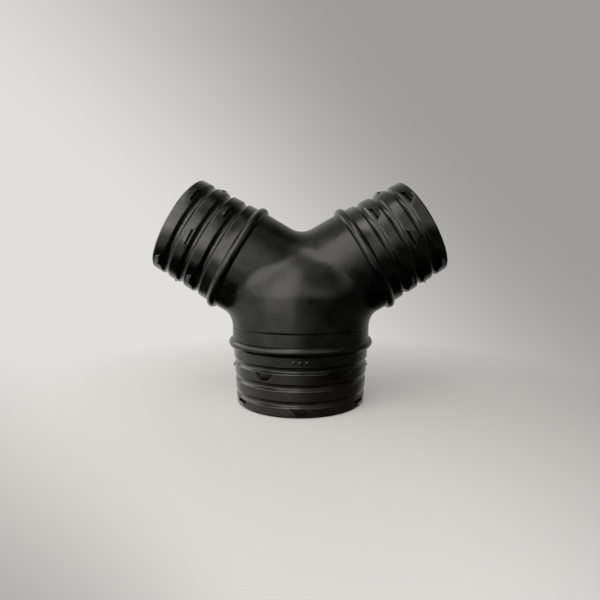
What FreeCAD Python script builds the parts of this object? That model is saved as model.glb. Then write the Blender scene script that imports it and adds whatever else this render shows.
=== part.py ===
import FreeCAD, Part

import math
import os

import Sketcher

# Y duct connector: one hollow moulded piece that splits one wide hose into two narrower ones.
# The three neck axes lie in the XZ plane and cross at the hub, straight above the wide rim.
# Origin: centre of the wide rim, which the part stands on. +Z runs up the wide neck and
# +X towards the right arm. Each neck is drawn along its own +Z, outward from the hub.
# All lengths are in millimetres and all angles in degrees.

SIZES = {
    "wide_reach": 63.2,           # hub to the wide rim
    "wide_body_radius": 40.4,
    "wide_dome_height": 26.0,     # how far the wide tube rounds off past the hub
    "wide_neck_length": 33.3,     # rim to the bead that stops the hose
    "wide_root_radius": 40.0,     # neck beside the bead
    "wide_rim_radius": 38.2,
    "wide_bead_radius": 42.6,
    "wide_bead_width": 5.3,
    "wide_land_length": 5.9,      # plain stretch between the bead and the first groove
    "wide_band_pitch": 9.2,
    "wide_groove_width": 3.8,
    "wide_bore_radius": 36.0,
    "wide_lug_count": 6,
    "arm_tilt": 30.0,             # degrees above level
    "arm_reach": 81.9,
    "arm_body_radius": 30.55,
    "arm_neck_length": 36.2,
    "arm_root_radius": 30.45,
    "arm_rim_radius": 28.65,
    "arm_bead_radius": 32.8,
    "arm_bead_width": 5.6,
    "arm_land_length": 5.8,
    "arm_band_pitch": 9.85,
    "arm_groove_width": 4.6,
    "arm_bore_radius": 26.5,
    "arm_lug_count": 4,
    "wall": 2.2,                  # of the body between the necks
    "blend_depth": 20.0,          # reach of the soft valleys between the tubes
    "groove_depth": 1.3,
    "groove_drop": 0.8,           # run of the step down from a band
    "groove_floor": 1.3,
    "rim_bevel": 0.8,
    "slot_width": 12.0,           # slot behind a band's crest, in front of each lug
    "slot_back_width": 8.0,
    "slot_run": 1.6,              # from the crest back to the lug's face
    "slot_lead": 0.2,             # how far the slot reaches into the groove's wall
    "slot_depth": 1.0,
    "lug_width": 9.6,
    "lug_crown_width": 8.4,
    "lug_tip_width": 4.0,
    "lug_length": 3.2,            # from its face to its tip
    "lug_lap": 0.4,               # how far the lug is drawn into the slot that trims its face
    "lug_height": 0.5,
    "lug_root_depth": 1.1,        # how deep a lug is rooted in its band
    "lug_fade": 0.1,              # how far its tip dips under the band
    "pip_radius": 1.1,
    "pip_height": 0.35,
    "pip_spacing": 3.6,
    "seam_height": 45.2,          # fine mould line round the wide body, above the rim
    "seam_depth": 0.3,
}

BANDS = 3
PIPS = 3
SLACK = 1.0                       # a cutting tool runs this far past the face that it opens
ROUGH = 30.0                      # where and how large a sketch is drawn before it is dimensioned
ALONG = 14                        # steps of the body's faces, out along a tube
AROUND = 32                       # and half way round it
EXACT = 1e-9
SEWING = 1e-4

# Band number and turn in degrees of each ring of lugs, counted outward from the bead
WIDE_LUGS = ((0, 30.0), (2, 0.0))
ARM_LUGS = ((0, 48.0), (1, 3.0), (2, 48.0))

# How far each face of the body's wall lies inside the outer one
SKIN = "0"
LINING = "Sizes.wall"

AT_HUB = "vector(0; 0; Sizes.wide_reach)"
WIDE_FRAME = f"placement({AT_HUB}; rotation(vector(0; 1; 0); 180))"
ARM_FRAME = f"placement({AT_HUB}; rotation(vector(0; 1; 0); 90 - Sizes.arm_tilt))"
HUB_FRAME = f"placement({AT_HUB}; rotation(vector(0; 1; 0); 0))"


def fill_sheet(doc):
    sheet = doc.addObject("Spreadsheet::Sheet", "Sizes")
    for row, (alias, size) in enumerate(SIZES.items(), start=1):
        sheet.set(f"A{row}", alias)
        sheet.set(f"B{row}", str(size))
        sheet.setAlias(f"B{row}", alias)
    doc.recompute()


def bind(item, **formulas):
    for prop, formula in formulas.items():
        item.setExpression(prop, formula)
    return item


def moved(frame, distance):
    return f"{frame} * placement(vector(0; 0; {distance}); rotation(vector(0; 0; 1); 0))"


# Distances along a neck are measured from its stop, the outer root of the bead

def stop(neck):
    return f"(Sizes.{neck}_reach - Sizes.{neck}_neck_length)"


def bead_start(neck):
    return f"({stop(neck)} - Sizes.{neck}_bead_width)"


def bead_middle(neck):
    return f"({stop(neck)} - Sizes.{neck}_bead_width / 2)"


def cone(neck, along):
    drop = f"(Sizes.{neck}_root_radius - Sizes.{neck}_rim_radius)"
    return f"(Sizes.{neck}_root_radius - {drop} * ({along}) / Sizes.{neck}_neck_length)"


def groove_start(neck, number):
    return f"(Sizes.{neck}_land_length + {number} * Sizes.{neck}_band_pitch)"


def crest(neck, number):
    return f"({groove_start(neck, number)} + Sizes.{neck}_groove_width)"


def origin_feature(body, role):
    for feature in body.Origin.OriginFeatures:
        if feature.Role == role:
            return feature
    raise ValueError(role)


def new_sketch(body, name, role):
    sketch = body.newObject("Sketcher::SketchObject", name)
    sketch.AttachmentSupport = [(origin_feature(body, role), "")]
    sketch.MapMode = "FlatFace"
    return sketch


def dimension(sketch, kind, name, formula, *places):
    sketch.addConstraint(Sketcher.Constraint(kind, *places, SLACK))
    sketch.renameConstraint(sketch.ConstraintCount - 1, name)
    sketch.setExpression(f"Constraints.{name}", formula)


def draw_loop(sketch, points):
    """Closed chain of straight lines, each joined to the next."""
    count = len(points)
    for number in range(count):
        sketch.addGeometry(Part.LineSegment(points[number], points[(number + 1) % count]), False)
    for number in range(count):
        sketch.addConstraint(Sketcher.Constraint("Coincident", number, 2, (number + 1) % count, 1))


def draw_circle(sketch, radius, across, up):
    sketch.addGeometry(Part.Circle(FreeCAD.Vector(ROUGH, ROUGH, 0), FreeCAD.Vector(0, 0, 1), SLACK), False)
    dimension(sketch, "Radius", "round", radius, 0)
    dimension(sketch, "DistanceX", "centre_across", across, -1, 1, 0, 3)
    dimension(sketch, "DistanceY", "centre_up", up, -1, 1, 0, 3)


def closed_outline(sketch, corners):
    """Straight-sided outline. Each corner is (across, up), and None puts it on the upright axis."""
    points = []
    for number in range(len(corners)):
        turn = 2 * math.pi * number / len(corners)
        points.append(FreeCAD.Vector(ROUGH + ROUGH / 2 * math.cos(turn),
                                     ROUGH + ROUGH / 2 * math.sin(turn), 0))
    draw_loop(sketch, points)
    for number, (across, up) in enumerate(corners):
        if across is None:
            sketch.addConstraint(Sketcher.Constraint("PointOnObject", number, 1, -2))
        else:
            dimension(sketch, "DistanceX", f"across_{number}", across, -1, 1, number, 1)
        dimension(sketch, "DistanceY", f"up_{number}", up, -1, 1, number, 1)


def neck_corners(neck):
    """Half section of a neck: a tapered plug with a narrow groove at the root of each band."""
    def corner(along, depth="0"):
        return (f"{cone(neck, along)} - {depth}", f"{stop(neck)} + {along}")

    bevel_start = f"(Sizes.{neck}_neck_length - Sizes.rim_bevel)"
    web_radius = f"Sizes.{neck}_bead_radius - Sizes.{neck}_bead_width"
    corners = [(None, bead_start(neck)), (web_radius, bead_start(neck)),
               (f"Sizes.{neck}_root_radius", bead_middle(neck)), corner("0")]
    for number in range(BANDS):
        edge = groove_start(neck, number)
        floor_start = f"({edge} + Sizes.groove_drop)"
        floor_end = f"({floor_start} + Sizes.groove_floor)"
        corners.append(corner(edge))
        corners.append(corner(floor_start, "Sizes.groove_depth"))
        corners.append(corner(floor_end, "Sizes.groove_depth"))
        corners.append(corner(crest(neck, number)))
    corners.append(corner(bevel_start))
    corners.append((f"Sizes.{neck}_rim_radius - Sizes.rim_bevel", f"Sizes.{neck}_reach"))
    corners.append((None, f"Sizes.{neck}_reach"))
    return corners


def revolve(body, name, sketch):
    ring = body.newObject("PartDesign::Revolution", name)
    ring.Profile = sketch
    ring.ReferenceAxis = (sketch, ["V_Axis"])
    ring.Angle = 360
    return ring


def add_bead(body, neck):
    sketch = new_sketch(body, f"{neck}_bead_section", "XZ_Plane")
    half = f"Sizes.{neck}_bead_width / 2"
    draw_circle(sketch, half, f"Sizes.{neck}_bead_radius - {half}", bead_middle(neck))
    revolve(body, f"{neck}_bead", sketch)


def lug_section(body, name, frame, foot, crown, root, top):
    """Upright trapezium across the neck axis, on the far side of it from the front."""
    sketch = new_sketch(body, name, "XY_Plane")
    sketch.setExpression("AttachmentOffset", frame)
    draw_loop(sketch, [FreeCAD.Vector(-ROUGH, ROUGH, 0), FreeCAD.Vector(ROUGH, ROUGH, 0),
                       FreeCAD.Vector(ROUGH / 2, 2 * ROUGH, 0), FreeCAD.Vector(-ROUGH / 2, 2 * ROUGH, 0)])
    sketch.addConstraint(Sketcher.Constraint("Symmetric", 0, 1, 0, 2, -2))
    sketch.addConstraint(Sketcher.Constraint("Symmetric", 2, 2, 2, 1, -2))
    dimension(sketch, "DistanceX", "foot", foot, 0, 1, 0, 2)
    dimension(sketch, "DistanceX", "crown", crown, 2, 2, 2, 1)
    dimension(sketch, "DistanceY", "root", root, -1, 1, 0, 1)
    dimension(sketch, "DistanceY", "top", top, -1, 1, 2, 1)
    return sketch


def ruled_loft(body, kind, name, first, last):
    loft = body.newObject(kind, name)
    loft.Profile = first
    loft.Sections = [last]
    loft.Ruled = True
    return loft


def add_lugs(body, neck, band, turn):
    """Ring of low wedges behind a band's crest, each with its steep face trimmed by a slot."""
    near = crest(neck, band)
    back = f"({near} + Sizes.slot_run)"
    start = f"({back} - Sizes.lug_lap)"
    tip = f"({back} + Sizes.lug_length)"

    def section(name, along, foot, crown, depth, rise):
        frame = f"placement(vector(0; 0; {stop(neck)} + {along}); rotation(vector(0; 0; 1); {turn}))"
        return lug_section(body, f"{neck}_{name}_{band}", frame, foot, crown,
                           f"{cone(neck, along)} - {depth}", f"{cone(neck, along)} + {rise}")

    lug = ruled_loft(
        body, "PartDesign::AdditiveLoft", f"{neck}_lug_{band}",
        section("lug_face", start, "Sizes.lug_width", "Sizes.lug_crown_width", "Sizes.lug_root_depth",
                "Sizes.lug_height"),
        section("lug_tip", tip, "Sizes.lug_tip_width", "Sizes.lug_tip_width / 2", "Sizes.lug_root_depth",
                "-Sizes.lug_fade"))
    slot = ruled_loft(
        body, "PartDesign::SubtractiveLoft", f"{neck}_slot_{band}",
        section("slot_front", f"({near} - Sizes.slot_lead)", "Sizes.slot_width", "Sizes.slot_width",
                "Sizes.slot_depth", SLACK),
        section("slot_back", back, "Sizes.slot_back_width", "Sizes.slot_back_width",
                "Sizes.slot_depth", SLACK))
    ring = body.newObject("PartDesign::PolarPattern", f"{neck}_lug_ring_{band}")
    ring.Originals = [lug, slot]
    ring.Axis = (origin_feature(body, "Z_Axis"), [""])
    ring.Angle = 360
    ring.setExpression("Occurrences", f"Sizes.{neck}_lug_count")
    body.Tip = ring


def add_pips(body, neck):
    """Row of small raised dots on the front of the plain land beside the bead."""
    middle = f"Sizes.{neck}_land_length / 2"
    row = f"Sizes.pip_spacing * {PIPS - 1}"
    sketch = new_sketch(body, "pip_outline", "XZ_Plane")
    draw_circle(sketch, "Sizes.pip_radius", f"{row} / 2", f"{stop(neck)} + {middle}")
    pip = body.newObject("PartDesign::Pad", "pip")
    pip.Profile = sketch
    pip.setExpression("Length", f"{cone(neck, middle)} + Sizes.pip_height")
    spread = body.newObject("PartDesign::LinearPattern", "pip_row")
    spread.Originals = [pip]
    spread.Direction = (origin_feature(body, "X_Axis"), [""])
    spread.Reversed = True
    spread.setExpression("Length", row)
    spread.Occurrences = PIPS
    body.Tip = spread


def make_neck(doc, neck, frame, lug_rings):
    body = doc.addObject("PartDesign::Body", f"{neck}_neck")
    section = new_sketch(body, f"{neck}_section", "XZ_Plane")
    closed_outline(section, neck_corners(neck))
    revolve(body, f"{neck}_plug", section)
    add_bead(body, neck)
    for band, turn in lug_rings:
        add_lugs(body, neck, band, turn)
    body.setExpression("Placement", frame)
    return body


def mirrored(doc, item):
    copy = doc.addObject("Part::Mirroring", f"{item.Name}_mirror")
    copy.Source = item
    copy.Normal = FreeCAD.Vector(1, 0, 0)
    copy.Base = FreeCAD.Vector(0, 0, 0)
    return copy


def fused(doc, name, items):
    whole = doc.addObject("Part::MultiFuse", name)
    whole.Shapes = items
    return whole


def edge_of(holds, limit):
    """How far out a test that holds at zero still holds."""
    near, far = 0.0, limit
    while far - near > EXACT:
        middle = (near + far) / 2
        if holds(middle):
            near = middle
        else:
            far = middle
    return near


def soft_larger(first, second, reach):
    """The larger of two values, eased upward where they come closer than the reach."""
    near = max(reach - abs(first - second), 0.0)
    return max(first, second) + near ** 2 / (4 * reach)


def spline_through(points):
    curve = Part.BSplineCurve()
    curve.interpolate(Points=points, Parameters=[float(number) for number in range(len(points))])
    return curve


def spline_face(rows):
    """Smooth surface through a grid of points. Grids that share an edge row meet exactly."""
    out = [spline_through(row) for row in rows]
    across = [spline_through(list(poles)) for poles in zip(*[curve.getPoles() for curve in out])]
    surface = Part.BSplineSurface()
    surface.buildFromPolesMultsKnots([curve.getPoles() for curve in across],
                                     out[0].getMultiplicities(), across[0].getMultiplicities(),
                                     out[0].getKnots(), across[0].getKnots(),
                                     False, False, out[0].Degree, across[0].Degree)
    return surface


class Junction:
    """Face of the body: three tubes that leave the hub, with soft valleys between them.

    Drawn in the hub's frame, in which directions are turns from +X towards +Z. The square of
    the face's distance from the XZ plane is a formula of X and Z, the largest of three tubes'.
    """

    def __init__(self, sheet, inset):
        def size(formula):
            return float(sheet.evalExpression(formula))

        self.arm_radius = size(f"Sizes.arm_body_radius - {inset}")
        self.wide_radius = size(f"Sizes.wide_body_radius - {inset}")
        self.dome = size(f"Sizes.wide_dome_height - {inset}")
        self.ease = size("Sizes.blend_depth") ** 2
        self.arm = math.radians(size("Sizes.arm_tilt"))
        end = bead_middle if inset == SKIN else bead_start
        self.arm_length = size(end("arm"))
        self.wide_length = size(end("wide"))

    def arm_depth(self, x, z):
        along = x * math.cos(self.arm) + z * math.sin(self.arm)
        across = z * math.cos(self.arm) - x * math.sin(self.arm)
        return self.arm_radius ** 2 - across ** 2 - min(along, 0.0) ** 2

    def depth(self, x, z):
        """Square of the face's distance from the XZ plane, and below zero outside the body."""
        arms = soft_larger(self.arm_depth(x, z), self.arm_depth(-x, z), self.ease)
        rise = max(z, 0.0) * self.wide_radius / self.dome
        return soft_larger(arms, self.wide_radius ** 2 - x ** 2 - rise ** 2, self.ease)

    def half_tube(self, tube, valley, length):
        """Face of one tube on one side of its axis, from the plane of its valley outward."""
        side = math.copysign(1.0, valley - tube)
        limit = 2 * self.wide_radius
        rows = []
        for step in range(AROUND + 1):
            turn = math.pi * step / AROUND

            def within_valley(radius):
                out = radius * math.sin(turn)
                depth = self.depth(out * math.cos(valley), out * math.sin(valley))
                return (radius * math.cos(turn)) ** 2 < depth

            reach = edge_of(within_valley, limit)
            out = reach * math.sin(turn)
            start = out * math.cos(valley - tube)
            lean = math.atan2(out * abs(math.sin(valley - tube)), reach * math.cos(turn))
            row = []
            for number in range(ALONG + 1):
                along = start + (length - start) * number / ALONG

                def place(radius):
                    across = side * radius * math.sin(lean)
                    return (along * math.cos(tube) - across * math.sin(tube),
                            along * math.sin(tube) + across * math.cos(tube))

                def within_face(radius):
                    return (radius * math.cos(lean)) ** 2 < self.depth(*place(radius))

                radius = edge_of(within_face, limit)
                x, z = place(radius)
                row.append(FreeCAD.Vector(x, -radius * math.cos(lean), z))
            rows.append(row)
        return spline_face(rows)

    def solid(self):
        """The three tubes' faces, each tube closed by a flat end."""
        crotch = math.pi / 2
        corner = math.atan2(self.wide_radius * math.sin(self.arm) - self.arm_radius,
                            self.wide_radius * math.cos(self.arm))
        tubes = ((self.arm, crotch, corner, self.arm_length),
                 (math.pi - self.arm, crotch, math.pi - corner, self.arm_length),
                 (-math.pi / 2, corner, -math.pi - corner, self.wide_length))
        faces = []
        for tube, first_valley, second_valley, length in tubes:
            halves = [self.half_tube(tube, valley, length) for valley in (first_valley, second_valley)]
            rim = [half.uIso(half.bounds()[1]).toShape() for half in halves]
            faces += [half.toShape() for half in halves]
            faces.append(Part.Face(Part.Wire(rim)))
        shell = Part.Compound(faces)
        shell.sewShape(SEWING)
        return Part.Solid(shell)


def make_junction(doc, name, inset):
    junction = doc.addObject("Part::Feature", name)
    junction.Shape = Junction(doc.Sizes, inset).solid()
    return bind(junction, Placement=HUB_FRAME)


def bore_tools(doc, neck, frame):
    """Bore of a neck, and the short cone and step that widen it to the inside of the body."""
    inner_radius = f"(Sizes.{neck}_body_radius - Sizes.wall)"
    funnel = bind(doc.addObject("Part::Cone", f"{neck}_funnel"),
                  Radius1=f"({inner_radius} + Sizes.{neck}_bore_radius) / 2",
                  Radius2=f"Sizes.{neck}_bore_radius",
                  Height=f"Sizes.{neck}_bead_width", Placement=moved(frame, bead_start(neck)))
    bore = bind(doc.addObject("Part::Cylinder", f"{neck}_bore"), Radius=f"Sizes.{neck}_bore_radius",
                Height=f"Sizes.{neck}_neck_length + {SLACK}", Placement=moved(frame, stop(neck)))
    return [funnel, bore]


def make_connector(doc):
    skin = make_junction(doc, "skin", SKIN)
    wide_neck = make_neck(doc, "wide", WIDE_FRAME, WIDE_LUGS)
    add_pips(wide_neck, "wide")
    arm_neck = make_neck(doc, "arm", ARM_FRAME, ARM_LUGS)
    outside = fused(doc, "outside", [skin, wide_neck, arm_neck, mirrored(doc, arm_neck)])

    lining = make_junction(doc, "lining", LINING)
    arm_tools = bore_tools(doc, "arm", ARM_FRAME)
    tools = bore_tools(doc, "wide", WIDE_FRAME) + arm_tools + [mirrored(doc, tool) for tool in arm_tools]
    inside = fused(doc, "inside", [lining] + tools)

    hollow = doc.addObject("Part::Cut", "hollow")
    hollow.Base = outside
    hollow.Tool = inside
    seam = bind(doc.addObject("Part::Torus", "seam"), Radius1="Sizes.wide_body_radius",
                Radius2="Sizes.seam_depth",
                Placement="placement(vector(0; 0; Sizes.seam_height); rotation(vector(0; 0; 1); 0))")
    connector = doc.addObject("Part::Cut", "y_duct_body")
    connector.Base = hollow
    connector.Tool = seam
    connector.Label = "y_duct_body"
    return connector


def check(doc, nodes):
    doc.recompute()
    for item in doc.Objects:
        if "Invalid" in item.State or "Error" in item.State:
            raise RuntimeError(f"{item.Name}: {item.State}")
    for node in nodes:
        if node.Shape.isNull() or not node.Shape.isValid() or len(node.Shape.Solids) != 1:
            raise RuntimeError(f"{node.Name}: no single valid solid")


def main():
    doc = FreeCAD.newDocument("y_duct_connector")
    fill_sheet(doc)
    nodes = [make_connector(doc)]
    check(doc, nodes)
    os.makedirs("parts", exist_ok=True)
    for node in nodes:
        node.Shape.exportStep(f"parts/{node.Label}.step")
        box = node.Shape.BoundBox
        print(f"{node.Label}: volume {node.Shape.Volume:.0f} mm3, "
              f"box {box.XLength:.2f} x {box.YLength:.2f} x {box.ZLength:.2f} mm, lowest {box.ZMin:.3f}")


main()
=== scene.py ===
import math

import bmesh
import bpy
import numpy as np
from bpy.props import FloatProperty, FloatVectorProperty, IntProperty, PointerProperty
from mathutils import Euler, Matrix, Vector


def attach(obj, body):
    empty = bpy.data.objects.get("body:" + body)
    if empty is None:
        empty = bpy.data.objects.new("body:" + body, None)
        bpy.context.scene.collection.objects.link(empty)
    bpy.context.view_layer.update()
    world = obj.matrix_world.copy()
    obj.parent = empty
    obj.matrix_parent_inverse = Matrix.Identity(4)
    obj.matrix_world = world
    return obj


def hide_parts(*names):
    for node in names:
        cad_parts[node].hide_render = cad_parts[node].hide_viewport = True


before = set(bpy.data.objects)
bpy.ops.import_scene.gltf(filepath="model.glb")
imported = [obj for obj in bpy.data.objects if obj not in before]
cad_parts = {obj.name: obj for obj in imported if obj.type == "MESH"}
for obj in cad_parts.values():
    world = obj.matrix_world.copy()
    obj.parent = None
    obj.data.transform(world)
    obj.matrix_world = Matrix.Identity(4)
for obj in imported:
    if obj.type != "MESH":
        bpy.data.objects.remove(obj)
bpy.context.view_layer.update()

bl_info = {
    "name": "Y duct connector",
    "version": (1, 0, 0),
    "blender": (4, 5, 0),
    "location": "3D View > Sidebar > Connector",
    "description": "Builds a moulded Y connector for air hoses and the studio that it stands in",
    "category": "Object",
}

NODE = "y_duct_body"

# Band number and turn in degrees of each ring of lugs, counted outward from the bead
WIDE_LUGS = ((0, 30.0), (2, 0.0))
ARM_LUGS = ((0, 48.0), (1, 3.0), (2, 48.0))
BANDS = 3
LUG_SEEDS = (1.0, 4.0, 7.0)   # of the unevenness on each band

# Fineness of the meshes
ALONG = 30                    # steps of the body's faces, out along a tube
AROUND = 90                   # and half way round it
SEAM_SLOPE_STEPS = 3          # rows down into the mould line
SEAM_STEP_STEPS = 2           # up out of it
SEAM_BEAD_STEPS = 9           # and on to the bead
HALVINGS = 48                 # when a face is searched for
TURN_STEPS = 256              # round a neck
CORNER_STEPS = 3              # in the rounding of a neck's corner
SAME_CORNER = 0.000005        # corners of a turned neck that are closer than this are one
SAME_POINT = 0.000001         # and points of a finished piece
SHARP_ANGLE = math.radians(40)
STRAY_SCALE = 160.0           # cells per metre of the noise that makes lugs and slots uneven

# What the plastic's large patches (cloud) and small ones (smear) add to its dust and roughness
CLOUD_DUST = 0.6
SMEAR_DUST = 0.3
CLOUD_DULLNESS = 0.10
SMEAR_DULLNESS = 0.06
SKIN_DULLNESS = 1.1           # roughness of its glossy skin, times that of the clean necks

# Metres towards the right over which the floor's shade comes in, and what a metre back adds
SHADE_RUN = (0.0, 0.35)
SHADE_SLANT = 0.5

# Where each part of the surround fades in, from nothing to all, as shares of a unit direction
LEFT_SIDE = (-0.35, 0.4)
BACK_DEPTH = (0.3, 0.85)
FRONT_DEPTH = (0.3, 0.9)
FRONT_RISE = (-0.1, 0.35)
CEILING_DEPTH = (-0.2, 0.2)
CEILING_RISE = (0.8, 1.0)
TABLE_SIDE = (-0.35, 0.45)
TABLE_DROP = (0.02, 0.16)
TABLE_END = (0.3, 0.7)
UNDER_DROP = (0.49, 0.61)
BACKDROP_RISE = (-0.30, 0.58)
BACKDROP_DROP = (0.68, 1.1)

# Corners of each face of a wedge: 0 to 3 near the hub and 4 to 7 far from it, roots before tops
WEDGE_FACES = ((0, 1, 3, 2), (4, 6, 7, 5), (0, 2, 6, 4), (1, 5, 7, 3), (2, 3, 7, 6), (0, 4, 5, 1))


def length(name, description, default):
    """Property that holds a length in metres."""
    return FloatProperty(name=name, description=description, default=default, min=0.0,
                         unit="LENGTH", subtype="DISTANCE", precision=5)


def colour(name, description, default):
    """Property that holds a linear colour."""
    return FloatVectorProperty(name=name, description=description, default=default, size=3,
                               min=0.0, max=1.0, subtype="COLOR")


def number(name, description, default):
    """Property that holds a plain number."""
    return FloatProperty(name=name, description=description, default=default, min=0.0)


def share(name, description, default):
    """Property that holds a share between nothing and all."""
    return FloatProperty(name=name, description=description, default=default, min=0.0, max=1.0,
                         subtype="FACTOR")


class WideNeckSizes(bpy.types.PropertyGroup):
    """Sizes of the neck that takes the wide hose"""

    reach: length("Reach", "From the hub to the rim", 0.0632)
    body_radius: length("Body radius", "Outside of the tube between the hub and the bead", 0.0404)
    neck_length: length("Neck length", "From the rim to the bead", 0.0333)
    root_radius: length("Root radius", "Outside of the neck beside the bead", 0.0400)
    rim_radius: length("Rim radius", "Outside of the neck at its rim", 0.0382)
    bead_radius: length("Bead radius", "Outside of the ring that stops the hose", 0.0426)
    bead_width: length("Bead width", "Width of that ring", 0.0053)
    land_length: length("Land length", "Plain stretch from the bead to the first groove", 0.0059)
    band_pitch: length("Band pitch", "From one groove to the next", 0.0092)
    groove_width: length("Groove width", "From a groove's edge to the crest of its band", 0.0038)
    bore_radius: length("Bore radius", "Inside of the neck", 0.0360)
    lug_count: IntProperty(name="Lugs", description="Lugs in one ring", default=6, min=1)


class ArmNeckSizes(bpy.types.PropertyGroup):
    """Sizes of the two necks that take the narrow hoses"""

    reach: length("Reach", "From the hub to the rim", 0.0819)
    body_radius: length("Body radius", "Outside of the tube between the hub and the bead", 0.03055)
    neck_length: length("Neck length", "From the rim to the bead", 0.0362)
    root_radius: length("Root radius", "Outside of the neck beside the bead", 0.03045)
    rim_radius: length("Rim radius", "Outside of the neck at its rim", 0.02865)
    bead_radius: length("Bead radius", "Outside of the ring that stops the hose", 0.0328)
    bead_width: length("Bead width", "Width of that ring", 0.0056)
    land_length: length("Land length", "Plain stretch from the bead to the first groove", 0.0058)
    band_pitch: length("Band pitch", "From one groove to the next", 0.00985)
    groove_width: length("Groove width", "From a groove's edge to the crest of its band", 0.0046)
    bore_radius: length("Bore radius", "Inside of the neck", 0.0265)
    lug_count: IntProperty(name="Lugs", description="Lugs in one ring", default=4, min=1)


class ConnectorSizes(bpy.types.PropertyGroup):
    """Sizes that the whole moulding shares, and its finish"""

    wide: PointerProperty(type=WideNeckSizes)
    arm: PointerProperty(type=ArmNeckSizes)
    arm_tilt: FloatProperty(name="Arm tilt", description="How far the arms rise above level",
                            default=math.radians(30), subtype="ANGLE")
    dome_height: length("Dome height", "How far the wide tube rounds off past the hub", 0.026)
    blend_depth: length("Blend depth", "Reach of the soft valleys between the tubes", 0.020)
    wall: length("Wall", "Thickness of the body between the necks", 0.0022)
    groove_depth: length("Groove depth", "Depth of the groove at the root of each band", 0.0013)
    groove_drop: length("Groove drop", "Run of the step down from a band", 0.0008)
    groove_floor: length("Groove floor", "From the foot of that step to the next rise", 0.0013)
    shoulder_radius: length("Shoulder radius", "Rounding of the edge above each groove", 0.0012)
    shoulder_lead: length("Shoulder lead", "From where that rounding starts to the edge", 0.0006)
    shoulder_slope: FloatProperty(name="Shoulder slope",
                                  description="Steepest part of that shoulder",
                                  default=math.radians(52), subtype="ANGLE")
    rim_bevel: length("Rim bevel", "Bevel round each rim", 0.0008)
    corner_radius: length("Corner radius", "Rounding of the moulded corners", 0.0004)
    slot_width: length("Slot width", "Front of the slot in front of each lug", 0.012)
    slot_back_width: length("Slot back width", "Back of that slot", 0.008)
    slot_run: length("Slot run", "From a band's crest back to a lug's face", 0.0016)
    slot_lead: length("Slot lead", "How far a slot reaches into the groove's wall", 0.0002)
    slot_depth: length("Slot depth", "Depth of a slot under its band", 0.0018)
    lug_width: length("Lug width", "Foot of a lug's steep face", 0.0096)
    lug_crown_width: length("Lug crown width", "Top of a lug's steep face", 0.0084)
    lug_tip_width: length("Lug tip width", "Foot of a lug's far end", 0.004)
    lug_length: length("Lug length", "From a lug's steep face to its tip", 0.0032)
    lug_lap: length("Lug lap", "How far a lug's face stands out into its slot", 0.0001)
    lug_height: length("Lug height", "Height of a lug above its band", 0.0007)
    lug_root_depth: length("Lug root depth", "How deep a lug is rooted in its band", 0.0019)
    lug_fade: length("Lug fade", "How far a lug's tip dips under its band", 0.0003)
    lug_rounding: length("Lug rounding", "Rounding of a lug's corners", 0.0001)
    unevenness: length("Unevenness", "How far the corners of lugs and slots stray", 0.0003)
    pip_count: IntProperty(name="Pips", description="Dots in the row on the wide neck",
                           default=3, min=1)
    pip_radius: length("Pip radius", "Radius of one dot", 0.0011)
    pip_height: length("Pip height", "Height of one dot", 0.00035)
    pip_spacing: length("Pip spacing", "From one dot to the next", 0.0036)
    seam_height: length("Seam height", "Fine mould line round the wide body, above the rim", 0.0452)
    seam_depth: length("Seam depth", "Depth of that line", 0.0003)
    seam_slope: length("Seam slope", "Run of the slope into that line from above", 0.0008)
    seam_step: length("Seam step", "Run of the step out of it below", 0.0002)
    black: colour("Black", "Clean moulded surface", (0.0008, 0.0008, 0.0010))
    dust: colour("Dust", "Handled and dusty patches", (0.0045, 0.0043, 0.0037))
    tan: colour("Tan", "Warm cast on the lowest bands", (0.012, 0.009, 0.006))
    cast_height: length("Cast height", "Where the warm cast starts, above the rim", 0.026)
    cast_fade: length("Cast fade", "From there down to where it is strongest", 0.024)
    cast_share: share("Cast share", "How strong the warm cast gets", 0.7)
    shine: share("Shine", "Specular level of the plastic", 0.42)
    roughness: share("Roughness", "Roughness of the clean necks", 0.12)
    body_dullness: share("Body dullness", "How much rougher the body is than the necks", 0.08)
    gloss: share("Gloss", "How much of a glossy skin the shiniest patches of the necks have", 0.62)
    body_gloss: share("Body gloss", "How much of that skin the body has", 0.3)
    grain_height: length("Grain height", "Height of the fine moulded grain", 0.00005)
    wave_height: length("Wave height", "Height of the slow waves of the surface", 0.0005)


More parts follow.
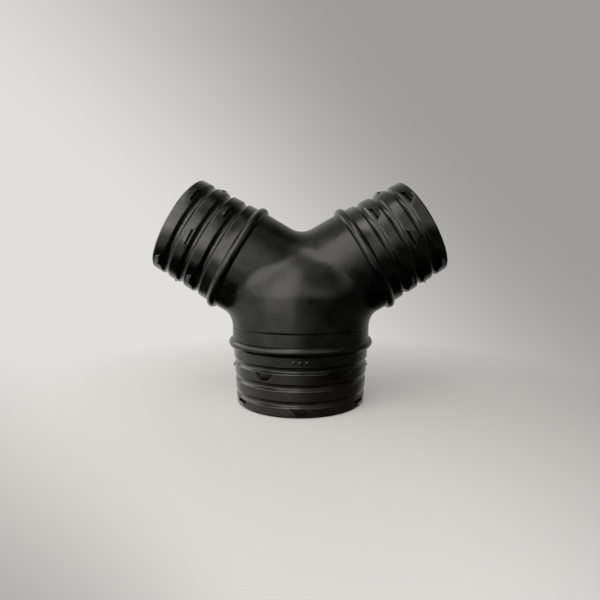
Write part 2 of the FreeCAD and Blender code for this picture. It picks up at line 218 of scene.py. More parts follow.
class StudioSettings(bpy.types.PropertyGroup):
    """Floor, light and camera"""

    floor: colour("Floor", "Floor under the part", (0.66, 0.655, 0.64))
    shade: colour("Shaded floor", "Floor behind the part on the right", (0.40, 0.39, 0.375))
    paper: colour("Backdrop colour", "Backdrop at the lower left", (0.745, 0.735, 0.71))
    paper_shade: colour("Shaded backdrop", "Backdrop at the upper right", (0.335, 0.330, 0.318))
    floor_radius: length("Floor radius", "Radius of the round floor", 0.34)
    floor_fade: length("Floor fade", "Where the floor starts to melt into the backdrop", 0.06)
    floor_clear: share("Floor clearness", "How much of the backdrop shows through the floor", 0.35)
    floor_drop: length("Floor drop", "Gap that keeps the floor clear of the rim", 0.0002)
    air_colour: colour("Air colour", "Colour of the soft surround's light", (1.0, 0.995, 0.93))
    dim: number("Dim side", "Brightness of the surround at the right", 0.05)
    left: number("Left side", "What the left side adds", 0.36)
    back: number("Backdrop", "What the backdrop adds", 0.28)
    front: number("Front", "What the room in front adds", 0.95)
    top: number("Top", "What the ceiling adds", 0.60)
    table: number("Table", "What a pale table at the left adds below the horizon", 0.22)
    key: number("Key light", "Brightness of the tall screen at the front left", 3.0)
    key_colour: colour("Key colour", "Colour of that screen's light", (1.0, 0.985, 0.925))
    wall: number("Wall light", "Brightness of the low softbox at the left", 1.6)
    lens: number("Lens", "Focal length on a 36 mm sensor", 27.24)
    shift: FloatVectorProperty(name="Shift", description="Shift of the frame", size=2,
                               default=(-0.02102, 0.01795))
    camera_place: FloatVectorProperty(name="Camera place", description="Where the camera stands",
                                      default=(0.000262, -0.270728, 0.083295),
                                      subtype="XYZ", unit="LENGTH")
    camera_turn: FloatVectorProperty(name="Camera turn", description="How the camera is turned",
                                     default=[math.radians(turn)
                                              for turn in (83.7204, -0.4010, -1.3748)],
                                     subtype="EULER")


class Wire:
    """Output socket of a node, which arithmetic can be written with."""

    def __init__(self, canvas, node, name=0):
        self.canvas = canvas
        self.node = node
        self.socket = node.outputs[name]

    def output(self, name):
        return Wire(self.canvas, self.node, name)

    def maths(self, operation, *values):
        return self.canvas.add("ShaderNodeMath", {"operation": operation}, dict(enumerate(values)))

    def __add__(self, other):
        return self.maths("ADD", self, other)

    def __radd__(self, other):
        return self.maths("ADD", other, self)

    def __sub__(self, other):
        return self.maths("SUBTRACT", self, other)

    def __rsub__(self, other):
        return self.maths("SUBTRACT", other, self)

    def __mul__(self, other):
        return self.maths("MULTIPLY", self, other)

    def __rmul__(self, other):
        return self.maths("MULTIPLY", other, self)

    def __truediv__(self, other):
        return self.maths("DIVIDE", self, other)

    def __neg__(self):
        return 0.0 - self

    def __abs__(self):
        return self.maths("ABSOLUTE", self)

    def larger(self, other):
        return self.maths("MAXIMUM", self, other)

    def ramp(self, low, high):
        """0 below low, 1 above high and a soft step between."""
        return self.canvas.add("ShaderNodeMapRange", {"interpolation_type": "SMOOTHSTEP"},
                               {"Value": self, "From Min": low, "From Max": high})


class Canvas:
    """Node tree under construction."""

    def __init__(self, tree):
        self.tree = tree

    def add(self, kind, settings=None, values=None, output=0):
        """Node of a type, with its settings set first and then its sockets' values or links."""
        node = self.tree.nodes.new(kind)
        for name, setting in (settings or {}).items():
            setattr(node, name, setting)
        for name, value in (values or {}).items():
            if isinstance(value, Wire):
                self.tree.links.new(value.socket, node.inputs[name])
            else:
                node.inputs[name].default_value = value
        return Wire(self, node, output) if node.outputs else node


def shader_canvas(name):
    """Material without nodes, and the canvas of its tree."""
    material = bpy.data.materials.new(name)
    material.use_nodes = True
    material.node_tree.nodes.clear()
    return material, Canvas(material.node_tree)


def geometry_canvas(name, inputs):
    """Geometry tree with named inputs, and a wire from each of them."""
    tree = bpy.data.node_groups.new(name, "GeometryNodeTree")
    tree.interface.new_socket("Geometry", in_out="INPUT", socket_type="NodeSocketGeometry")
    for label, kind in inputs.items():
        tree.interface.new_socket(label, in_out="INPUT", socket_type=kind)
    tree.interface.new_socket("Geometry", in_out="OUTPUT", socket_type="NodeSocketGeometry")
    canvas = Canvas(tree)
    entry = canvas.add("NodeGroupInput")
    return canvas, {label: entry.output(label) for label in ("Geometry", *inputs)}


def finish_tree(canvas, geometry, tilt, hub, material):
    """Puts a neck's geometry at the hub, realizes it, gives it its material and ends the tree."""
    turned = canvas.add("ShaderNodeCombineXYZ", None, {"Y": tilt})
    raised = canvas.add("ShaderNodeCombineXYZ", None, {"Z": hub})
    placed = canvas.add("GeometryNodeTransform", None,
                        {"Geometry": geometry, "Rotation": turned, "Translation": raised})
    realized = canvas.add("GeometryNodeRealizeInstances", None, {"Geometry": placed})
    finished = canvas.add("GeometryNodeSetMaterial", None,
                          {"Geometry": realized, "Material": material})
    canvas.add("NodeGroupOutput", None, {"Geometry": finished})


NECK_INPUTS = {
    "Path Radius": "NodeSocketFloat",
    "Segments": "NodeSocketInt",
    "Corner Radius": "NodeSocketFloat",
    "Corner Steps": "NodeSocketInt",
    "Same Corner": "NodeSocketFloat",
    "Slots": "NodeSocketObject",
    "Tilt": "NodeSocketFloat",
    "Hub Height": "NodeSocketFloat",
    "Material": "NodeSocketMaterial",
}


def neck_tree():
    """Turns a half section round the neck's axis, with its corners rounded, and cuts the slots."""
    canvas, wires = geometry_canvas("Turned neck", NECK_INPUTS)
    section = canvas.add("GeometryNodeMeshToCurve", None, {"Mesh": wires["Geometry"]})
    eased = canvas.add("GeometryNodeFilletCurve", {"mode": "POLY"},
                       {"Curve": section, "Radius": wires["Corner Radius"],
                        "Count": wires["Corner Steps"], "Limit Radius": True})
    path = canvas.add("GeometryNodeCurvePrimitiveCircle", {"mode": "RADIUS"},
                      {"Resolution": wires["Segments"], "Radius": wires["Path Radius"]})
    shell = canvas.add("GeometryNodeCurveToMesh", None, {"Curve": path, "Profile Curve": eased})
    clean = canvas.add("GeometryNodeMergeByDistance", None,
                       {"Geometry": shell, "Distance": wires["Same Corner"]})
    slots = canvas.add("GeometryNodeObjectInfo", None, {"Object": wires["Slots"]}, "Geometry")
    notched = canvas.add("GeometryNodeMeshBoolean", {"operation": "DIFFERENCE", "solver": "EXACT"},
                         {"Mesh 1": clean, "Mesh 2": slots})
    finish_tree(canvas, notched, wires["Tilt"], wires["Hub Height"], wires["Material"])
    return canvas.tree


RING_INPUTS = {
    "Wedge": "NodeSocketObject",
    "Count": "NodeSocketInt",
    "Turn": "NodeSocketFloat",
    "Unevenness": "NodeSocketFloat",
    "Seed": "NodeSocketFloat",
    "Tilt": "NodeSocketFloat",
    "Hub Height": "NodeSocketFloat",
    "Material": "NodeSocketMaterial",
}


def ring_tree():
    """Spaces copies of a wedge evenly round the neck's axis and makes each a little uneven."""
    canvas, wires = geometry_canvas("Wedge ring", RING_INPUTS)
    shape = canvas.add("GeometryNodeObjectInfo", None, {"Object": wires["Wedge"]}, "Geometry")
    places = canvas.add("GeometryNodeMeshLine", None,
                        {"Count": wires["Count"], "Offset": (0.0, 0.0, 0.0)})
    index = canvas.add("GeometryNodeInputIndex")
    angle = index * (2 * math.pi) / wires["Count"] + wires["Turn"]
    ring = canvas.add("GeometryNodeInstanceOnPoints", None,
                      {"Points": places, "Instance": shape,
                       "Rotation": canvas.add("ShaderNodeCombineXYZ", None, {"Z": angle})})
    solid = canvas.add("GeometryNodeRealizeInstances", None, {"Geometry": ring})
    stray = canvas.add("ShaderNodeTexNoise", {"noise_dimensions": "4D"},
                       {"W": wires["Seed"], "Scale": STRAY_SCALE, "Detail": 0.0}, "Color")
    centred = canvas.add("ShaderNodeVectorMath", {"operation": "SUBTRACT"},
                         {0: stray, 1: (0.5, 0.5, 0.5)})
    shift = canvas.add("ShaderNodeVectorMath", {"operation": "SCALE"},
                       {0: centred, "Scale": wires["Unevenness"] * 2.0})
    uneven = canvas.add("GeometryNodeSetPosition", None, {"Geometry": solid, "Offset": shift})
    finish_tree(canvas, uneven, wires["Tilt"], wires["Hub Height"], wires["Material"])
    return canvas.tree


PIP_INPUTS = {
    "Count": "NodeSocketInt",
    "Spacing": "NodeSocketFloat",
    "Pip Radius": "NodeSocketFloat",
    "Pip Height": "NodeSocketFloat",
    "Neck Radius": "NodeSocketFloat",
    "Height": "NodeSocketFloat",
    "Material": "NodeSocketMaterial",
}


def pip_tree():
    """Row of flat domes that follows the front of a round neck."""
    canvas, wires = geometry_canvas("Pip row", PIP_INPUTS)
    ball = canvas.add("GeometryNodeMeshUVSphere", None,
                      {"Segments": 24, "Rings": 16, "Radius": wires["Pip Radius"]})
    flat = canvas.add("ShaderNodeCombineXYZ", None,
                      {"X": 1.0, "Y": wires["Pip Height"] / wires["Pip Radius"], "Z": 1.0})
    front = canvas.add("ShaderNodeCombineXYZ", None, {"Y": -wires["Neck Radius"]})
    dome = canvas.add("GeometryNodeTransform", None,
                      {"Geometry": ball, "Scale": flat, "Translation": front})
    places = canvas.add("GeometryNodeMeshLine", None,
                        {"Count": wires["Count"], "Offset": (0.0, 0.0, 0.0)})
    index = canvas.add("GeometryNodeInputIndex")
    angle = (index - (wires["Count"] - 1.0) * 0.5) * wires["Spacing"] / wires["Neck Radius"]
    row = canvas.add("GeometryNodeInstanceOnPoints", None,
                     {"Points": places, "Instance": dome,
                      "Rotation": canvas.add("ShaderNodeCombineXYZ", None, {"Z": angle})})
    finish_tree(canvas, row, 0.0, wires["Height"], wires["Material"])
    return canvas.tree


def new_object(name, data):
    """Object in the scene that shows a mesh, lamp or camera."""
    holder = bpy.data.objects.new(name, data)
    bpy.context.scene.collection.objects.link(holder)
    return holder


def made_of(name, shell):
    """Mesh with the shape of a bmesh, which is freed."""
    mesh = bpy.data.meshes.new(name)
    shell.to_mesh(mesh)
    shell.free()
    return mesh


def grown(tree, points, edges, values):
    """Mesh that a geometry tree makes from a base of points and edges."""
    base = bpy.data.meshes.new(tree.name)
    base.from_pydata(points, edges, [])
    maker = new_object(tree.name, base)
    modifier = maker.modifiers.new(tree.name, "NODES")
    modifier.node_group = tree
    for item in tree.interface.items_tree:
        if item.in_out == "INPUT" and item.name in values:
            modifier[item.identifier] = values[item.name]
    bpy.context.view_layer.update()
    depsgraph = bpy.context.evaluated_depsgraph_get()
    mesh = bpy.data.meshes.new_from_object(maker.evaluated_get(depsgraph))
    bpy.data.objects.remove(maker)
    return mesh


def add_piece(name, meshes, material):
    """Joins meshes into one smooth piece whose faces point outward, and ties it to the frame."""
    shell = bmesh.new()
    for mesh in meshes:
        shell.from_mesh(mesh)
    bmesh.ops.remove_doubles(shell, verts=shell.verts, dist=SAME_POINT)
    bmesh.ops.recalc_face_normals(shell, faces=shell.faces)
    mesh = made_of(name, shell)
    mesh.shade_smooth()
    mesh.set_sharp_from_angle(angle=SHARP_ANGLE)
    mesh.materials.clear()
    mesh.materials.append(material)
    piece = new_object(name, mesh)
    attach(piece, "root")
    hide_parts(NODE)


def stop(neck):
    """Distance from the hub to the outer root of a neck's bead."""
    return neck.reach - neck.neck_length


def cone(neck, along):
    """Outside radius of a neck at a distance past its stop."""
    return neck.root_radius - (neck.root_radius - neck.rim_radius) * along / neck.neck_length


def crest(neck, band):
    """Distance past a neck's stop of the crest of a band."""
    return neck.land_length + band * neck.band_pitch + neck.groove_width


def bead_arc(neck, steps=14):
    """Round outside of the bead, from the neck's face inward to the body."""
    half = neck.bead_width / 2
    centre = neck.bead_radius - half
    middle = stop(neck) - half
    first = math.acos((neck.root_radius - centre) / half)
    turns = np.linspace(first, -math.pi / 2, steps)
    return [(centre + half * math.cos(turn), middle + half * math.sin(turn)) for turn in turns]


def shoulder(sizes, edge, steps=7):
    """Places and depths from the land, round a groove's shoulder and down to its floor."""
    start = edge - sizes.shoulder_lead
    bend = [(start + sizes.shoulder_radius * math.sin(turn),
             sizes.shoulder_radius * (1 - math.cos(turn)))
            for turn in np.linspace(0.0, sizes.shoulder_slope, steps)]
    along, depth = bend[-1]
    foot = along + (sizes.groove_depth - depth) / math.tan(sizes.shoulder_slope)
    return bend + [(foot, sizes.groove_depth)]


def rising_wall(foot, top, depth, steps=11):
    """Places and depths along the soft S from a groove's floor up to the crest of its band."""
    return [(foot + (top - foot) * part, depth * (1 + math.cos(math.pi * part)) / 2)
            for part in np.linspace(0.0, 1.0, steps)]


def neck_section(sizes, neck):
    """Closed half section of a neck as (radius, distance from the hub)."""
    start = stop(neck)
    inner = neck.body_radius - sizes.wall
    points = [((inner + neck.bore_radius) / 2, start - neck.bead_width),
              (neck.bore_radius, start),
              (neck.bore_radius, neck.reach),
              (neck.rim_radius - sizes.rim_bevel, neck.reach),
              (cone(neck, neck.neck_length - sizes.rim_bevel), neck.reach - sizes.rim_bevel)]
    for band in reversed(range(BANDS)):
        edge = neck.land_length + band * neck.band_pitch
        foot = edge + sizes.groove_drop + sizes.groove_floor
        profile = shoulder(sizes, edge) + rising_wall(foot, crest(neck, band), sizes.groove_depth)
        points += [(cone(neck, along) - depth, start + along) for along, depth in reversed(profile)]
    return points + bead_arc(neck)


def neck_frames(sizes):
    """Name, sizes, tilt of the axis, sense of turn and rings of lugs of each of the three necks."""
    lean = math.pi / 2 - sizes.arm_tilt
    return (("wide", sizes.wide, math.pi, 1, WIDE_LUGS),
            ("right", sizes.arm, lean, 1, ARM_LUGS),
            ("left", sizes.arm, -lean, -1, ARM_LUGS))


def lug_angle(turn, sense):
    """Angle from +X to the first lug of a ring, in the neck's own frame."""
    return sense * math.radians(turn) + math.pi / 2


def wedge_object(name, sections, rounding):
    """Wedge on the +X side of the neck's axis, between two upright trapeziums.

    Each section is (distance from the hub, width at its root, width at its top, root, top).
    """
    corners = []
    for along, foot, crown, root, top in sections:
        for out, width in ((root, foot), (top, crown)):
            for side in (-0.5, 0.5):
                corners.append((out, side * width, along))
    wedge = bmesh.new()
    verts = [wedge.verts.new(corner) for corner in corners]
    for face in WEDGE_FACES:
        wedge.faces.new([verts[corner] for corner in face])
    bmesh.ops.recalc_face_normals(wedge, faces=wedge.faces)
    if rounding > 0.0:
        bmesh.ops.bevel(wedge, geom=wedge.edges[:], offset=rounding, segments=2, affect="EDGES",
                        profile=0.5)
    return new_object(name, made_of(name, wedge))


def lug_object(sizes, neck, band):
    """A low wedge with a steep inboard face, which falls away to its tip."""
    back = crest(neck, band) + sizes.slot_run
    near = back - sizes.lug_lap
    far = back + sizes.lug_length
    face = (stop(neck) + near, sizes.lug_width, sizes.lug_crown_width,
            cone(neck, near) - sizes.lug_root_depth, cone(neck, near) + sizes.lug_height)
    tip = (stop(neck) + far, sizes.lug_tip_width, sizes.lug_tip_width / 2,
           cone(neck, far) - sizes.lug_root_depth, cone(neck, far) - sizes.lug_fade)
    return wedge_object("lug", (face, tip), sizes.lug_rounding)


def slot_object(sizes, neck, band):
    """What is cut out of a band between its crest and a lug, and a good way out into the open."""
    near = crest(neck, band) - sizes.slot_lead
    back = crest(neck, band) + sizes.slot_run
    sections = [(stop(neck) + along, width, width,
                 cone(neck, along) - sizes.slot_depth, cone(neck, along) + 2 * sizes.slot_depth)
                for along, width in ((near, sizes.slot_width), (back, sizes.slot_back_width))]
    return wedge_object("slot", sections, 0.0)


def wedge_ring(sizes, tree, wedge, neck, band, angle, tilt=0.0, hub=0.0):
    """Mesh of a ring of uneven copies of a wedge, which is used up."""
    mesh = grown(tree, [(0.0, 0.0, 0.0)], [], {
        "Wedge": wedge, "Count": neck.lug_count, "Turn": angle, "Unevenness": sizes.unevenness,
        "Seed": LUG_SEEDS[band], "Tilt": tilt, "Hub Height": hub, "Material": plastic(sizes)})
    bpy.data.objects.remove(wedge)
    return mesh


def slots_object(sizes, tree, neck, sense, rings):
    """All slots of one neck, in the neck's own frame."""
    shell = bmesh.new()
    for band, turn in rings:
        wedge = slot_object(sizes, neck, band)
        shell.from_mesh(wedge_ring(sizes, tree, wedge, neck, band, lug_angle(turn, sense)))
    return new_object("slots", made_of("slots", shell))


def edge_of(holds, limit, shape):
    """How far out a test that holds at zero still holds, for a whole grid at once."""
    near = np.zeros(shape)
    far = np.full(shape, limit)
    for _ in range(HALVINGS):
        middle = (near + far) / 2
        inside = holds(middle)
        near = np.where(inside, middle, near)
        far = np.where(inside, far, middle)
    return near


def soft_larger(first, second, reach):
    """The larger of two values, eased upward where they come closer than the reach."""
    near = np.maximum(reach - np.abs(first - second), 0.0)
    return np.maximum(first, second) + near ** 2 / (4 * reach)


class Junction:
    """Face of the body: three tubes that leave the hub, with soft valleys between them."""

    def __init__(self, sizes, inset):
        self.arm_radius = sizes.arm.body_radius - inset
        self.wide_radius = sizes.wide.body_radius - inset
        self.dome = sizes.dome_height - inset
        self.ease = sizes.blend_depth ** 2
        self.arm = sizes.arm_tilt

    def arm_depth(self, x, z):
        along = x * math.cos(self.arm) + z * math.sin(self.arm)
        across = z * math.cos(self.arm) - x * math.sin(self.arm)
        return self.arm_radius ** 2 - across ** 2 - np.minimum(along, 0.0) ** 2

    def depth(self, x, z):
        """Square of the face's distance from the XZ plane, and below zero outside the body."""
        arms = soft_larger(self.arm_depth(x, z), self.arm_depth(-x, z), self.ease)
        rise = np.maximum(z, 0.0) * self.wide_radius / self.dome
        return soft_larger(arms, self.wide_radius ** 2 - x ** 2 - rise ** 2, self.ease)

    def half_tube(self, tube, valley, knee, beyond, groove=None):
        """Grid of points on one side of a tube's axis, from the plane of its valley outward.

        The rows are evenly spaced up to the knee, and beyond it they stand where they are told.
        """
        side = math.copysign(1.0, valley - tube)
        limit = 2 * self.wide_radius
        turn = np.linspace(0.0, math.pi, AROUND + 1)

        def within_valley(radius):
            out = radius * np.sin(turn)
            depth = self.depth(out * math.cos(valley), out * math.sin(valley))
            return (radius * np.cos(turn)) ** 2 < depth

        reach = edge_of(within_valley, limit, turn.shape)
        out = reach * np.sin(turn)
        start = (out * math.cos(valley - tube))[:, None]
        lean = np.arctan2(out * abs(math.sin(valley - tube)), reach * np.cos(turn))[:, None]
        even = start + (knee - start) * np.linspace(0.0, 1.0, ALONG + 1)[None, :]
        along = np.hstack([even, np.broadcast_to(np.array(beyond), (AROUND + 1, len(beyond)))])

        def place(radius):
            across = side * radius * np.sin(lean)
            return (along * math.cos(tube) - across * math.sin(tube),
                    along * math.sin(tube) + across * math.cos(tube))

        def within_face(radius):
            return (radius * np.cos(lean)) ** 2 < self.depth(*place(radius))

        radius = edge_of(within_face, limit, along.shape)
        if groove:
            radius = radius - groove(along)
        x, z = place(radius)
        return np.stack([x, -radius * np.cos(lean), z], axis=-1)

    def grids(self, arm_end, wide_knee, wide_beyond, groove=None):
        """The six half tubes, in pairs: right arm, left arm and wide tube."""
        crotch = math.pi / 2
        corner = math.atan2(self.wide_radius * math.sin(self.arm) - self.arm_radius,
                            self.wide_radius * math.cos(self.arm))
        arms = ((self.arm, crotch), (self.arm, corner),
                (math.pi - self.arm, crotch), (math.pi - self.arm, math.pi - corner))
        wide = ((-math.pi / 2, corner), (-math.pi / 2, -math.pi - corner))
        halves = [self.half_tube(tube, valley, arm_end, ()) for tube, valley in arms]
        return halves + [self.half_tube(tube, valley, wide_knee, wide_beyond, groove)
                         for tube, valley in wide]


def places_between(start, end, steps):
    """Evenly spaced places after the start, up to the end."""
    return list(np.linspace(start, end, steps + 1)[1:])


def body_mesh(sizes):
    """Wall of the body: an outer and an inner face, joined by a flat rim under each bead."""
    arm_end = stop(sizes.arm) - sizes.arm.bead_width / 2
    wide_end = stop(sizes.wide) - sizes.wide.bead_width / 2
    seam = sizes.wide.reach - sizes.seam_height
    knee = seam - sizes.seam_slope
    past = seam + sizes.seam_step
    beyond = (places_between(knee, seam, SEAM_SLOPE_STEPS)
              + places_between(seam, past, SEAM_STEP_STEPS)
              + places_between(past, wide_end, SEAM_BEAD_STEPS))

    def groove(along):
        return np.interp(along, (knee, seam, past), (0.0, sizes.seam_depth, 0.0))

    skin = Junction(sizes, 0.0).grids(arm_end, knee, beyond, groove)
    lining = Junction(sizes, sizes.wall).grids(arm_end, knee, beyond)

    points = []
    faces = []
    starts = []
    for grid in skin + lining:
        rows, columns = grid.shape[:2]
        starts.append(len(points))
        points += grid.reshape(-1, 3).tolist()
        for row in range(rows - 1):
            for column in range(columns - 1):
                first = starts[-1] + row * columns + column
                faces.append((first, first + 1, first + columns + 1, first + columns))
    for index, grid in enumerate(skin):
        rows, columns = grid.shape[:2]
        for row in range(rows - 1):
            near = starts[index] + row * columns + columns - 1
            far = starts[index + len(skin)] + row * columns + columns - 1
            faces.append((near, near + columns, far + columns, far))
    mesh = bpy.data.meshes.new("body")
    mesh.from_pydata([(x, y, z + sizes.wide.reach) for x, y, z in points], [], faces)
    return mesh


def colour_mix(canvas, factor, first, second):
    """Blend from one colour to another."""
    return canvas.add("ShaderNodeMix", {"data_type": "RGBA"},
                      {"Factor": factor, "A": first, "B": second}, "Result")


def neck_mask(sizes, place):
    """1 on the necks and 0 on the body, with a step that runs across the beads."""
    height = place.output("Z")
    outward = (abs(place.output("X")) * math.cos(sizes.arm_tilt)
               + (height - sizes.wide.reach) * math.sin(sizes.arm_tilt))
    arm = outward.ramp(stop(sizes.arm) - sizes.arm.bead_width, stop(sizes.arm))
    bead = sizes.wide.bead_width
    wide = (sizes.wide.neck_length + bead - height).ramp(0.0, bead)
    return arm + wide


def plastic(sizes):
    """Black moulded plastic: mottled satin, glossier on the necks, with a warm cast low down."""
    name = "moulded black plastic"
    if name in bpy.data.materials:
        return bpy.data.materials[name]
    material, canvas = shader_canvas(name)
    vector = canvas.add("ShaderNodeTexCoord", output="Object")
    place = canvas.add("ShaderNodeSeparateXYZ", None, {"Vector": vector})
    neck = neck_mask(sizes, place)

    def noise(scale, detail, roughness=0.5):
        """Noise with a number of cells per metre."""
        return canvas.add("ShaderNodeTexNoise", None, {"Vector": vector, "Scale": scale,
                                                       "Detail": detail, "Roughness": roughness})

    cloud = noise(scale=60.0, detail=4.0).ramp(low=0.36, high=0.66)
    smear = noise(scale=190.0, detail=5.0, roughness=0.65).ramp(low=0.40, high=0.70)
    grain = noise(scale=1100.0, detail=2.0)
    waves = noise(scale=34.0, detail=3.0)

    dustiness = cloud * CLOUD_DUST + smear * SMEAR_DUST
    dusty = colour_mix(canvas, dustiness, (*sizes.black, 1.0), (*sizes.dust, 1.0))
    warmth = (sizes.cast_height - place.output("Z")).ramp(0.0, sizes.cast_fade) * sizes.cast_share
    cast = colour_mix(canvas, warmth, dusty, (*sizes.tan, 1.0))
    relief = canvas.add("ShaderNodeBump", None,
                        {"Height": grain * sizes.grain_height + waves * sizes.wave_height,
                         "Distance": 1.0, "Strength": 1.0}, "Normal")
    roughness = (sizes.roughness + cloud * CLOUD_DULLNESS + smear * SMEAR_DULLNESS
                 + (1.0 - neck) * sizes.body_dullness)
    mottling = cloud * 0.5 + smear * 0.5
    skin = mottling * (neck * (1.0 - sizes.body_gloss) + sizes.body_gloss) * sizes.gloss
    surface = canvas.add("ShaderNodeBsdfPrincipled", None,
                         {"Base Color": cast, "Roughness": roughness,
                          "Specular IOR Level": sizes.shine, "Normal": relief, "Coat Weight": skin,
                          "Coat Roughness": sizes.roughness * SKIN_DULLNESS})
    canvas.add("ShaderNodeOutputMaterial", None, {"Surface": surface})
    return material


class CONNECTOR_OT_body(bpy.types.Operator):
    """Build the hollow body where the three tubes meet"""

    bl_idname = "connector.body"
    bl_label = "Body"

    def execute(self, context):
        sizes = context.scene.connector_sizes
        add_piece("duct_body", [body_mesh(sizes)], plastic(sizes))
        return {"FINISHED"}


class CONNECTOR_OT_necks(bpy.types.Operator):
    """Build the three ribbed necks with their beads"""

    bl_idname = "connector.necks"
    bl_label = "Necks"

    def execute(self, context):
        sizes = context.scene.connector_sizes
        tree = neck_tree()
        ring = ring_tree()
        for name, neck, tilt, sense, rings in neck_frames(sizes):
            slots = slots_object(sizes, ring, neck, sense, rings)
            # The profile's X counts from the path's circle and its Y runs against the axis
            points = [(radius - neck.bore_radius, -along, 0.0)
                      for radius, along in neck_section(sizes, neck)]
            edges = [(index, (index + 1) % len(points)) for index in range(len(points))]
            mesh = grown(tree, points, edges, {
                "Path Radius": neck.bore_radius, "Segments": TURN_STEPS,
                "Corner Radius": sizes.corner_radius, "Corner Steps": CORNER_STEPS,
                "Same Corner": SAME_CORNER, "Slots": slots,
                "Tilt": tilt, "Hub Height": sizes.wide.reach, "Material": plastic(sizes)})
            bpy.data.objects.remove(slots)
            add_piece(f"{name}_neck", [mesh], plastic(sizes))
        return {"FINISHED"}


class CONNECTOR_OT_lugs(bpy.types.Operator):
    """Build the rings of small lugs on the necks' bands"""

    bl_idname = "connector.lugs"
    bl_label = "Lugs"

    def execute(self, context):
        sizes = context.scene.connector_sizes
        ring = ring_tree()
        for name, neck, tilt, sense, rings in neck_frames(sizes):
            meshes = [wedge_ring(sizes, ring, lug_object(sizes, neck, band), neck, band,
                                 lug_angle(turn, sense), tilt, sizes.wide.reach)
                      for band, turn in rings]
            add_piece(f"{name}_lugs", meshes, plastic(sizes))
        return {"FINISHED"}


class CONNECTOR_OT_pips(bpy.types.Operator):
    """Build the row of small raised dots on the front of the wide neck"""

    bl_idname = "connector.pips"
    bl_label = "Pips"

    def execute(self, context):
        sizes = context.scene.connector_sizes
        neck = sizes.wide
        middle = neck.land_length / 2
        mesh = grown(pip_tree(), [(0.0, 0.0, 0.0)], [], {
            "Count": sizes.pip_count, "Spacing": sizes.pip_spacing, "Pip Radius": sizes.pip_radius,
            "Pip Height": sizes.pip_height, "Neck Radius": cone(neck, middle),
            "Height": neck.neck_length - middle, "Material": plastic(sizes)})
        add_piece("pips", [mesh], plastic(sizes))
        return {"FINISHED"}


def add_softbox(name, place, target, brightness, width, height):
    """Area lamp that shows the given brightness in a mirror."""
    lamp = bpy.data.lights.new(name, "AREA")
    lamp.shape = "RECTANGLE"
    lamp.size = width
    lamp.size_y = height
    lamp.energy = math.pi * brightness * width * height
    holder = new_object(name, lamp)
    holder.location = place
    holder.rotation_euler = (Vector(target) - Vector(place)).to_track_quat("-Z", "Y").to_euler()


def glow_material(name, brightness, light):
    """Even glow that fades out where the mesh's attribute "inside" falls from 1 to 0."""
    material, canvas = shader_canvas(name)
    inside = canvas.add("ShaderNodeAttribute", {"attribute_name": "inside"}, output="Fac")
    glow = canvas.add("ShaderNodeEmission", None, {"Color": (*light, 1.0), "Strength": brightness})
    beyond = canvas.add("ShaderNodeBsdfTransparent")
    surface = canvas.add("ShaderNodeMixShader", None,
                         {0: inside.ramp(0.0, 1.0), 1: beyond, 2: glow})
    canvas.add("ShaderNodeOutputMaterial", None, {"Surface": surface})
    return material


def add_screen(name, brightness, light, turns, rises, distance):
    """Glowing screen bent round the part, with a soft edge, that stays out of the picture.

    Turns run from straight in front of the part towards the right, and rises from level upward.
    """
    steps = 24                    # rows and columns of the screen
    middle = 0.07                 # height of the point that it is bent round
    draw_in = 0.2                 # how far its left edge draws in towards the top
    foot_soft, top_soft = 12, 4   # columns of its soft sides, at the foot and from half way up
    foot_fade, top_fade = 5, 2    # rows of its soft foot and top
    points = []
    inside = []
    for row in range(steps + 1):
        rise = math.radians(rises[0] + (rises[1] - rises[0]) * row / steps)
        left = turns[0] * (1.0 - draw_in * max(0.0, math.sin(rise)))
        soft = top_soft + (foot_soft - top_soft) * max(0.0, 1.0 - 2.0 * row / steps)
        for column in range(steps + 1):
            turn = math.radians(left + (turns[1] - left) * column / steps)
            points.append((distance * math.cos(rise) * math.sin(turn),
                           -distance * math.cos(rise) * math.cos(turn),
                           middle + distance * math.sin(rise)))
            inside.append(min(min(column, steps - column) / soft, row / foot_fade,
                              (steps - row) / top_fade, 1.0))
    faces = []
    for row in range(steps):
        for column in range(steps):
            first = row * (steps + 1) + column
            faces.append((first, first + 1, first + steps + 2, first + steps + 1))
    mesh = bpy.data.meshes.new(name)
    mesh.from_pydata(points, [], faces)
    mesh.attributes.new("inside", "FLOAT", "POINT").data.foreach_set("value", inside)
    mesh.materials.append(glow_material(name, brightness, light))
    screen = new_object(name, mesh)
    screen.visible_camera = False


def add_floor(settings):
    """Round floor under the part, which melts into the backdrop and can't be seen from below.

    Gloss on the part shows the surround's own lower half in its place.
    """
    material, canvas = shader_canvas("studio floor")
    place = canvas.add("ShaderNodeTexCoord", output="Object")
    distance = canvas.add("ShaderNodeVectorMath", {"operation": "LENGTH"}, {0: place}, "Value")
    axes = canvas.add("ShaderNodeSeparateXYZ", None, {"Vector": place})
    shaded = (axes.output("X") + axes.output("Y") * SHADE_SLANT).ramp(*SHADE_RUN)
    tone = colour_mix(canvas, shaded, (*settings.floor, 1.0), (*settings.shade, 1.0))
    paper = canvas.add("ShaderNodeBsdfDiffuse", None, {"Color": tone})
    beyond = canvas.add("ShaderNodeBsdfTransparent")
    below = canvas.add("ShaderNodeNewGeometry", output="Backfacing")
    clear = settings.floor_clear + distance.ramp(settings.floor_fade, settings.floor_radius)
    surface = canvas.add("ShaderNodeMixShader", None, {0: clear.larger(below), 1: paper, 2: beyond})
    canvas.add("ShaderNodeOutputMaterial", None, {"Surface": surface})
    disc = bmesh.new()
    bmesh.ops.create_circle(disc, cap_ends=True, segments=128, radius=settings.floor_radius)
    floor = new_object("floor", made_of("floor", disc))
    floor.data.materials.append(material)
    floor.location.z = -settings.floor_drop
    floor.visible_glossy = False


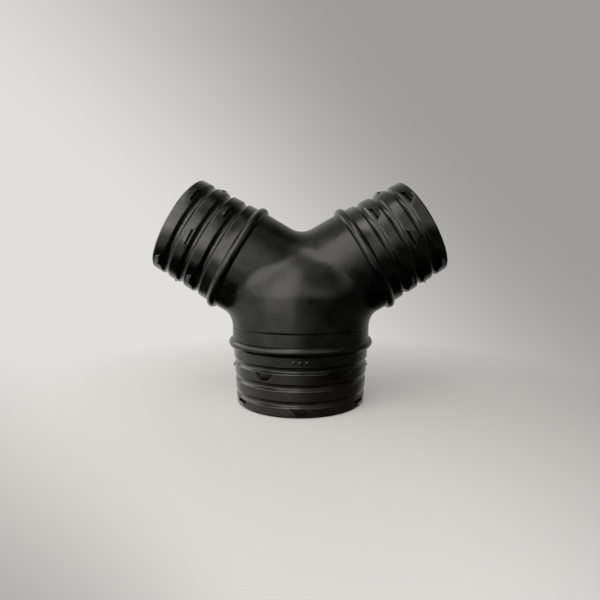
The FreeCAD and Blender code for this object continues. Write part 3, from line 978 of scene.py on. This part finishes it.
def add_world(settings):
    """Soft surround: pale behind and at the left, bright overhead and dim at the right."""
    world = bpy.data.worlds.new("studio")
    world.use_nodes = True
    world.node_tree.nodes.clear()
    canvas = Canvas(world.node_tree)
    way = canvas.add("ShaderNodeTexCoord", output="Generated")
    axes = canvas.add("ShaderNodeSeparateXYZ", None, {"Vector": way})
    across, deep, up = (axes.output(axis) for axis in "XYZ")

    left = (-across).ramp(*LEFT_SIDE) * settings.left
    back = deep.ramp(*BACK_DEPTH) * settings.back
    front = (-deep).ramp(*FRONT_DEPTH) * up.ramp(*FRONT_RISE) * settings.front
    top = (-deep).ramp(*CEILING_DEPTH) * up.ramp(*CEILING_RISE) * settings.top
    table = ((-across).ramp(*TABLE_SIDE) * (-up).ramp(*TABLE_DROP) * (1.0 - deep.ramp(*TABLE_END))
             * settings.table)
    above_floor = 1.0 - (-up).ramp(*UNDER_DROP)
    strength = (settings.dim + left + back + front + top + table) * above_floor
    light = canvas.add("ShaderNodeBackground", None,
                       {"Color": (*settings.air_colour, 1.0), "Strength": strength})

    slant = across + up
    shaded = slant.ramp(*BACKDROP_RISE) + (-slant).ramp(*BACKDROP_DROP)
    tone = colour_mix(canvas, shaded, (*settings.paper, 1.0), (*settings.paper_shade, 1.0))
    backdrop = canvas.add("ShaderNodeBackground", None, {"Color": tone})
    seen = canvas.add("ShaderNodeLightPath", output="Is Camera Ray")
    surface = canvas.add("ShaderNodeMixShader", None, {0: seen, 1: light, 2: backdrop})
    canvas.add("ShaderNodeOutputWorld", None, {"Surface": surface})
    bpy.context.scene.world = world


def add_camera(settings):
    """Camera at the photograph's angle, which the scene then uses."""
    camera = bpy.data.cameras.new("camera")
    camera.lens = settings.lens
    camera.sensor_width = 36.0
    camera.shift_x, camera.shift_y = settings.shift
    camera.clip_start = 0.01
    holder = new_object("camera", camera)
    holder.location = settings.camera_place
    holder.rotation_euler = Euler(settings.camera_turn)
    bpy.context.scene.camera = holder


class CONNECTOR_OT_stage(bpy.types.Operator):
    """Set up the floor, the lights and the camera"""

    bl_idname = "connector.stage"
    bl_label = "Studio"

    def execute(self, context):
        settings = context.scene.connector_studio
        add_floor(settings)
        add_world(settings)
        add_screen("key", settings.key, settings.key_colour,
                   turns=(-70.0, 0.0), rises=(-16.0, 88.0), distance=0.70)
        add_softbox("wall", place=(-0.45, 0.05, 0.22), target=(0.0, 0.0, 0.10),
                    brightness=settings.wall, width=0.62, height=0.32)
        add_camera(settings)
        context.scene.view_settings.view_transform = "Standard"
        return {"FINISHED"}


class CONNECTOR_PT_panel(bpy.types.Panel):
    """Sizes of the connector and the steps that build it"""

    bl_idname = "CONNECTOR_PT_panel"
    bl_label = "Y duct connector"
    bl_space_type = "VIEW_3D"
    bl_region_type = "UI"
    bl_category = "Connector"

    def draw(self, context):
        sizes = context.scene.connector_sizes
        for group in (sizes.wide, sizes.arm, sizes, context.scene.connector_studio):
            box = self.layout.box()
            for name, prop in group.bl_rna.properties.items():
                if prop.is_runtime and prop.type != "POINTER":
                    box.prop(group, name)
        for operator in OPERATORS:
            self.layout.operator(operator.bl_idname)


GROUPS = (WideNeckSizes, ArmNeckSizes, ConnectorSizes, StudioSettings)
OPERATORS = (CONNECTOR_OT_body, CONNECTOR_OT_necks, CONNECTOR_OT_lugs, CONNECTOR_OT_pips,
             CONNECTOR_OT_stage)
CLASSES = (*GROUPS, *OPERATORS, CONNECTOR_PT_panel)


def register():
    for cls in CLASSES:
        bpy.utils.register_class(cls)
    bpy.types.Scene.connector_sizes = PointerProperty(type=ConnectorSizes)
    bpy.types.Scene.connector_studio = PointerProperty(type=StudioSettings)


def unregister():
    del bpy.types.Scene.connector_studio
    del bpy.types.Scene.connector_sizes
    for cls in reversed(CLASSES):
        bpy.utils.unregister_class(cls)


def main():
    register()
    bpy.ops.connector.body()
    bpy.ops.connector.necks()
    bpy.ops.connector.lugs()
    bpy.ops.connector.pips()
    bpy.ops.connector.stage()


if __name__ == "__main__":
    main()
